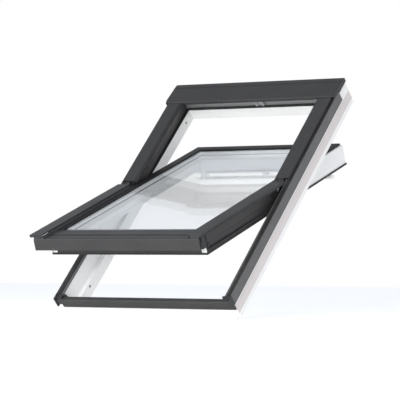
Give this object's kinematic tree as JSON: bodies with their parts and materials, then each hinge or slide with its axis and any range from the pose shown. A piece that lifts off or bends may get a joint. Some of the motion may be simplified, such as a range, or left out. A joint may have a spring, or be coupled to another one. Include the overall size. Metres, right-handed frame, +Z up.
{
  "type": "centre-pivot roof window",
  "caption": "White-framed roof skylight with dark metal cladding, its double-glazed sash tilted open on a centre pivot, with a vent flap and control bar.",
  "frame": {"origin": "middle of the back of the bottom member, at the frame's lower end", "axes": "+X to the right seen from outside, +Y horizontally into the building, +Z up; the window lies on a 45 degree slope"},
  "size_m": [0.792, 1.1188, 0.9309],
  "materials": {
    "white_finish": "smooth white coating over a timber core",
    "white_metal": "white powder coat",
    "dark_cladding": "satin dark grey coated sheet",
    "grey_cladding": "satin grey coated sheet",
    "light_cladding": "satin light grey coated sheet",
    "black_cladding": "satin black coated sheet",
    "seal_strip": "pale soft foil strip",
    "dark_steel": "blackened steel",
    "black_plastic": "matt moulded",
    "rubber": "soft extruded",
    "glass": "clear float",
    "spacer": "satin",
    "filter": "open foam",
    "steel": "zinc plated"
  },
  "bodies": {
    "frame": {"frame_bottom_rail": "white_finish", "frame_top_rail": "white_finish", "frame_left_rail": "white_finish", "frame_right_rail": "white_finish", "frame_bottom_cladding": "dark_cladding", "left_side_cladding": "grey_cladding", "right_side_cladding": "grey_cladding", "channel_gaskets": "rubber", "frame_corner_blocks": "black_plastic", "left_upper_cover": "dark_cladding", "right_upper_cover": "dark_cladding", "upper_cover_seals": "rubber", "side_strips": "seal_strip", "side_inner_cladding": "grey_cladding", "top_inner_cladding": "light_cladding", "upper_frame_gasket": "rubber", "hood": "dark_cladding", "hood_end_caps": "black_plastic", "frame_screws": "dark_steel", "frame_hinges": "dark_steel", "striker": "light_cladding", "bolt_bushes": "steel"},
    "sash": {"sash_bottom_rail": "white_finish", "sash_top_rail": "white_finish", "sash_left_rail": "white_finish", "sash_right_rail": "white_finish", "outer_pane": "glass", "inner_pane": "glass", "spacer_bar": "spacer", "edge_sealant": "rubber", "glazing_gasket": "rubber", "setting_blocks": "rubber", "sash_front_cover": "dark_cladding", "sash_front_seal": "rubber", "sash_left_cover": "dark_cladding", "sash_right_cover": "dark_cladding", "sash_cover_seals": "rubber", "sash_corner_pieces": "black_plastic", "left_side_plate": "dark_cladding", "right_side_plate": "dark_cladding", "side_plugs": "black_plastic", "sash_left_border": "black_cladding", "sash_right_border": "black_cladding", "sash_top_border": "black_cladding", "sash_gasket": "rubber", "sash_screws": "dark_steel", "sash_hinges": "dark_steel", "hinge_pins": "dark_steel", "friction_discs": "rubber", "flap_lugs": "white_metal", "air_filter": "filter", "lock_case": "steel", "bolt_housing": "steel"},
    "vent_flap": {"vent_flap": "white_finish", "flap_gasket": "rubber", "bar_brackets": "white_metal", "control_bar": "white_metal"},
    "latch": {"latch_bolt": "steel"},
    "barrel_bolt": {"barrel_bolt": "steel"}
  },
  "joints": [
    {"name": "sash_pivot", "type": "hinge", "parent": "frame", "child": "sash", "pos_m": [0, 0.32209, 0.51018], "axis": [1, 0, 0], "range_deg": [-129.4, 25.6]},
    {"name": "vent_flap_hinge", "type": "hinge", "parent": "sash", "child": "vent_flap", "pos_m": [0, 0.82524, 0.56862], "axis": [1, 0, 0], "range_deg": [0, 25]},
    {"name": "latch_slide", "type": "slide", "parent": "sash", "child": "latch", "axis": [0, 0.9432, 0.3322], "range_m": [-0.02, 0]},
    {"name": "barrel_bolt_slide", "type": "slide", "parent": "sash", "child": "barrel_bolt", "axis": [-1, 0, 0], "range_m": [0, 0.014]}
  ],
  "couplings": [
    {"joint": "latch_slide", "follows": "vent_flap_hinge", "m_per_rad": -0.045837}
  ]
}
